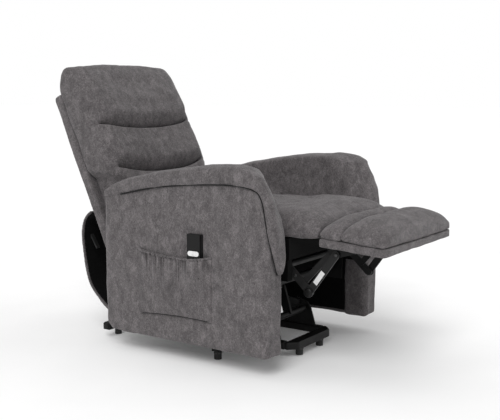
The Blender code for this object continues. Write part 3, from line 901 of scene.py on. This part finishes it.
def tuck_back(back, tuck, depth):
    """One smile-shaped tuck pulled into the front."""
    co = points(back)
    x = co[:, 0]
    s, t = to_back(co)
    line = tuck_height(x, tuck)
    gap = s - line
    fade = 1 - ramp(np.abs(x), tuck[1] - 0.030, tuck[1] + 0.008)
    face = ramp(t, 0.0, 0.04) * fade
    # The cloth above rolls down over the tuck and the cloth below runs up into it
    near = np.exp(-((gap / 0.030) ** 2))
    s = s - face * gap * 0.62 * near
    gap = s - line
    shape = np.where(gap > 0, np.exp(-np.abs(gap / 0.0140) ** 1.5), np.exp(-((gap / 0.0045) ** 2)))
    t = t - face * depth * shape + face * 0.010 * bell(gap, 0.050, 0.028)
    # The upper roll sags over the line
    s = s - face * 0.009 * np.exp(-(((gap - 0.010) / 0.012) ** 2))
    # Short drag lines past each end
    tail = bell(np.abs(x), tuck[1] + 0.012, 0.030) * ramp(t, 0.0, 0.04)
    t = t - 0.0035 * tail * bell(gap + 0.35 * (np.abs(x) - tuck[1]), -0.004, 0.007)
    from_back(co, s, t)
    put(back, co)


def build_tuck_seam_shades(back):
    """A dark cord along the stitched line at the bottom of each tuck, as painted shade of the crease."""
    co = points(back)
    x = co[:, 0]
    s, t = to_back(co)
    for label, tuck in (("upper", UPPER_TUCK), ("lower", LOWER_TUCK)):
        path = []
        for place in np.linspace(-tuck[1] + 0.012, tuck[1] - 0.012, 41):
            line = float(tuck_height(np.array([place]), tuck)[0]) - 0.001
            near = (np.abs(x - place) < 0.006) & (np.abs(s - line) < 0.006) & (t > 0)
            if near.any():
                path.append((place, *lean(line, float(t[near].min()) + 0.0010)))
        # Near-black cord: painted shade of the tuck's crease over its stitched line
        tube("tuck_seam_shade_" + label, path, 0.0024, M_THREAD_AND_SEAM_SHADE, "back", 6)


# ---------------------------------------------------------------- lower rear panel


def build_rear_shell():
    outer = [
        (0.4340, 0.101), (0.4760, 0.131), (0.5200, 0.172), (0.5440, 0.212), (0.5580, 0.270),
        (0.5680, 0.330), (0.5710, 0.385), (0.5620, 0.430), (0.5460, 0.455), (0.5240, 0.472),
    ]
    path = curve_points([(0.0, y, z) for y, z in outer], 4)
    last = len(path) - 1
    ways = [(path[min(i + 1, last)] - path[max(i - 1, 0)]).normalized() for i in range(last + 1)]

    def ribbon(near, far):
        """The panel's section between two distances from its outer face."""
        a = [p + Vector((0, w.z, -w.y)) * near for p, w in zip(path, ways)]
        b = [p + Vector((0, w.z, -w.y)) * far for p, w in zip(path, ways)]
        return [(p.y, p.z) for p in a] + [(p.y, p.z) for p in b[::-1]]

    cover = piece(
        "rear_panel_cover", [prism(ribbon(0.0015, -0.0060), -0.2880, 0.2880)], M_BACK, "lower_rear_panel",
        ("rear_shell",),
    )
    remesh(cover, 0.0035, 3)
    ripple(cover, 0.070, 0.0020, (1, 1, 1), 71.0)
    inside = piece(
        "rear_panel_liner", [prism(ribbon(-0.0058, -0.0085), -0.2800, 0.2800)], M_LINING_AND_SHADE,
        "lower_rear_panel",
    )
    remesh(inside, 0.0025, 0)


# ---------------------------------------------------------------- hardware


def rivet(name, side, x, y, z, radius, body):
    """A domed rivet head on a bar's outer face."""
    height = 0.0035
    profile = [
        (0.0, radius), (height * 0.45, radius), (height * 0.85, radius * 0.72), (height, radius * 0.35),
    ]
    form = lathe(profile, (side * x, y, z), (side, 0, 0), 20)
    piece(name, [form], M_RIVET, body)


def build_hardware():
    for side, end in SIDES:
        for name, x, (y, z), r, body in (
            ("rivet_board", 0.2175, (-0.494, 0.402), 0.0075, "footrest_front_bars"),
            ("rivet_drive", 0.2111, (-0.340, 0.316), 0.0050, "footrest_drive"),
            ("rivet_lift_base", 0.1301, (-0.179, 0.118), 0.0085, "lift_arms"),
            ("rivet_lift_top", 0.1301, (0.201, 0.142), 0.0085, "lift_arms"),
            ("rivet_back", 0.2477, (0.335, 0.330), 0.0080, "back"),
            ("rivet_bracket", 0.1221, (-0.148, 0.139), 0.0070, "floor_base"),
        ):
            rivet(name + "_" + end, side, x, y, z, r, body)
        # Rounded plastic cap over the knee
        knee = lathe(
            [(0.0, 0.0165), (0.0040, 0.0165), (0.0070, 0.0140), (0.0085, 0.0080), (0.0085, 0.0030)],
            (side * 0.2176, -0.395, 0.266), (side, 0, 0), 28,
        )
        piece("knee_cap_" + end, [knee], M_PLASTIC, "footrest_front_bars")
        for label, x, y in (("front", 0.070, -0.271), ("mid", 0.278, -0.067), ("rear", 0.230, 0.445)):
            nut = lathe([(0.0, 0.0150), (0.0035, 0.0150), (0.0050, 0.0120), (0.0070, 0.0120)],
                        (side * x, y, 0.0200), (0, 0, 1), 6)
            piece("foot_nut_" + label + "_" + end, [nut], M_RIVET, "floor_base", smooth=False)
        z0, z1 = 0.030, 0.054
        for name, y in (("outrigger_plug", -0.067), ("cross_plug", 0.445)):
            plug = prism([(y - 0.0125, z0), (y + 0.0125, z0), (y + 0.0125, z1), (y - 0.0125, z1)],
                         side * 0.2951, side * 0.2985)
            obj = piece(name + "_" + end, [plug], M_PLASTIC, "floor_base", smooth=False)
            bevel = obj.modifiers.new("soften", "BEVEL")
            bevel.width, bevel.segments = 0.0014, 2
            settle(obj)
    # Blank label on the sitter's right front bar
    start, way = Vector((0, -0.395, 0.266)), Vector((0, -0.099, 0.136)).normalized()
    across = Vector((0, way.z, -way.y))
    half, near, far = 0.0085, 0.040, 0.092
    corners = [
        start + way * a + across * b for a, b in ((near, -half), (far, -half), (far, half), (near, half))
    ]
    label = prism([(p.y, p.z) for p in corners], -0.2179, -0.2175)
    piece("blank_label", [label], M_LABEL, "footrest_front_bars", smooth=False)


def dress_nodes():
    """Finishes for the frame's own nodes, with eased edges on the steelwork."""
    by_node = {row["node"]: row["material_slot"] for row in frame["record"]["subparts"]}
    for name, obj in NODES.items():
        slot = by_node[name]
        obj.data.materials.clear()
        obj.data.materials.append(SLOT_MATERIALS[slot])
        if slot in ("link_steel", "black_steel") and name not in ("lift_cross_tube", "chassis_tube_rear"):
            bevel = obj.modifiers.new("eased", "BEVEL")
            bevel.width, bevel.segments, bevel.limit_method = 0.0008, 2, "ANGLE"
            bevel.angle_limit = math.radians(35)


# ---------------------------------------------------------------- stage


def build_stage():
    bm = bmesh.new()
    size = 40.0
    corners = ((-size, -size), (size, -size), (size, size), (-size, size))
    bm.faces.new([bm.verts.new((x, y, -0.0015)) for x, y in corners])
    mesh = bpy.data.meshes.new("floor")
    bm.to_mesh(mesh)
    bm.free()
    s = Shader("studio_floor", 0.9, specular=0.1)
    s.color(s.ramp(s.noise(2.0, 2.0, 0.5), ((0.3, 0.90), (0.7, 0.94))))
    s.bsdf.inputs["Emission Color"].default_value = (1.0, 1.0, 1.0, 1.0)
    s.bsdf.inputs["Emission Strength"].default_value = 0.07
    mesh.materials.append(s.mat)
    floor = bpy.data.objects.new("floor", mesh)
    bpy.context.scene.collection.objects.link(floor)

    world = bpy.data.worlds.new("studio")
    bpy.context.scene.world = world
    world.use_nodes = True
    tree = world.node_tree
    glow = tree.nodes["Background"]
    glow.inputs["Color"].default_value = (1.0, 1.0, 1.0, 1.0)
    glow.inputs["Strength"].default_value = 0.44
    plain = tree.nodes.new("ShaderNodeBackground")
    plain.inputs["Color"].default_value = (1.0, 1.0, 1.0, 1.0)
    plain.inputs["Strength"].default_value = 1.0
    path, blend = tree.nodes.new("ShaderNodeLightPath"), tree.nodes.new("ShaderNodeMixShader")
    tree.links.new(path.outputs["Is Camera Ray"], blend.inputs[0])
    tree.links.new(glow.outputs[0], blend.inputs[1])
    tree.links.new(plain.outputs[0], blend.inputs[2])
    tree.links.new(blend.outputs[0], tree.nodes["World Output"].inputs["Surface"])
    for name, way, strength, spread in (
        ("key", (-1.0, -0.40, 1.05), 1.75, 35.0), ("fill", (0.9, -1.0, 0.9), 0.35, 50.0),
        ("top", (0.1, 0.3, 1.0), 0.55, 60.0),
    ):
        data = bpy.data.lights.new(name, "SUN")
        data.energy, data.angle = strength, math.radians(spread)
        lamp = bpy.data.objects.new(name, data)
        lamp.location = Vector(way) * 3
        lamp.rotation_euler = Vector(way).to_track_quat("Z", "Y").to_euler()
        bpy.context.scene.collection.objects.link(lamp)

    data = bpy.data.cameras.new("camera")
    data.lens, data.sensor_width = 64.7, 36.0
    camera = bpy.data.objects.new("camera", data)
    camera.location = (-2.705, -1.882, 0.928)
    camera.rotation_euler = (math.radians(82.36), 0.0, math.radians(-55.32))
    bpy.context.scene.collection.objects.link(camera)
    bpy.context.scene.camera = camera
    bpy.context.scene.view_settings.view_transform = "Standard"


build_stage()
dress_nodes()
for side, end in SIDES:
    build_arm(side, end)
build_pocket()
build_handset()
build_buttons()
build_seat()
build_footrest()
build_back()
build_rear_shell()
build_hardware()
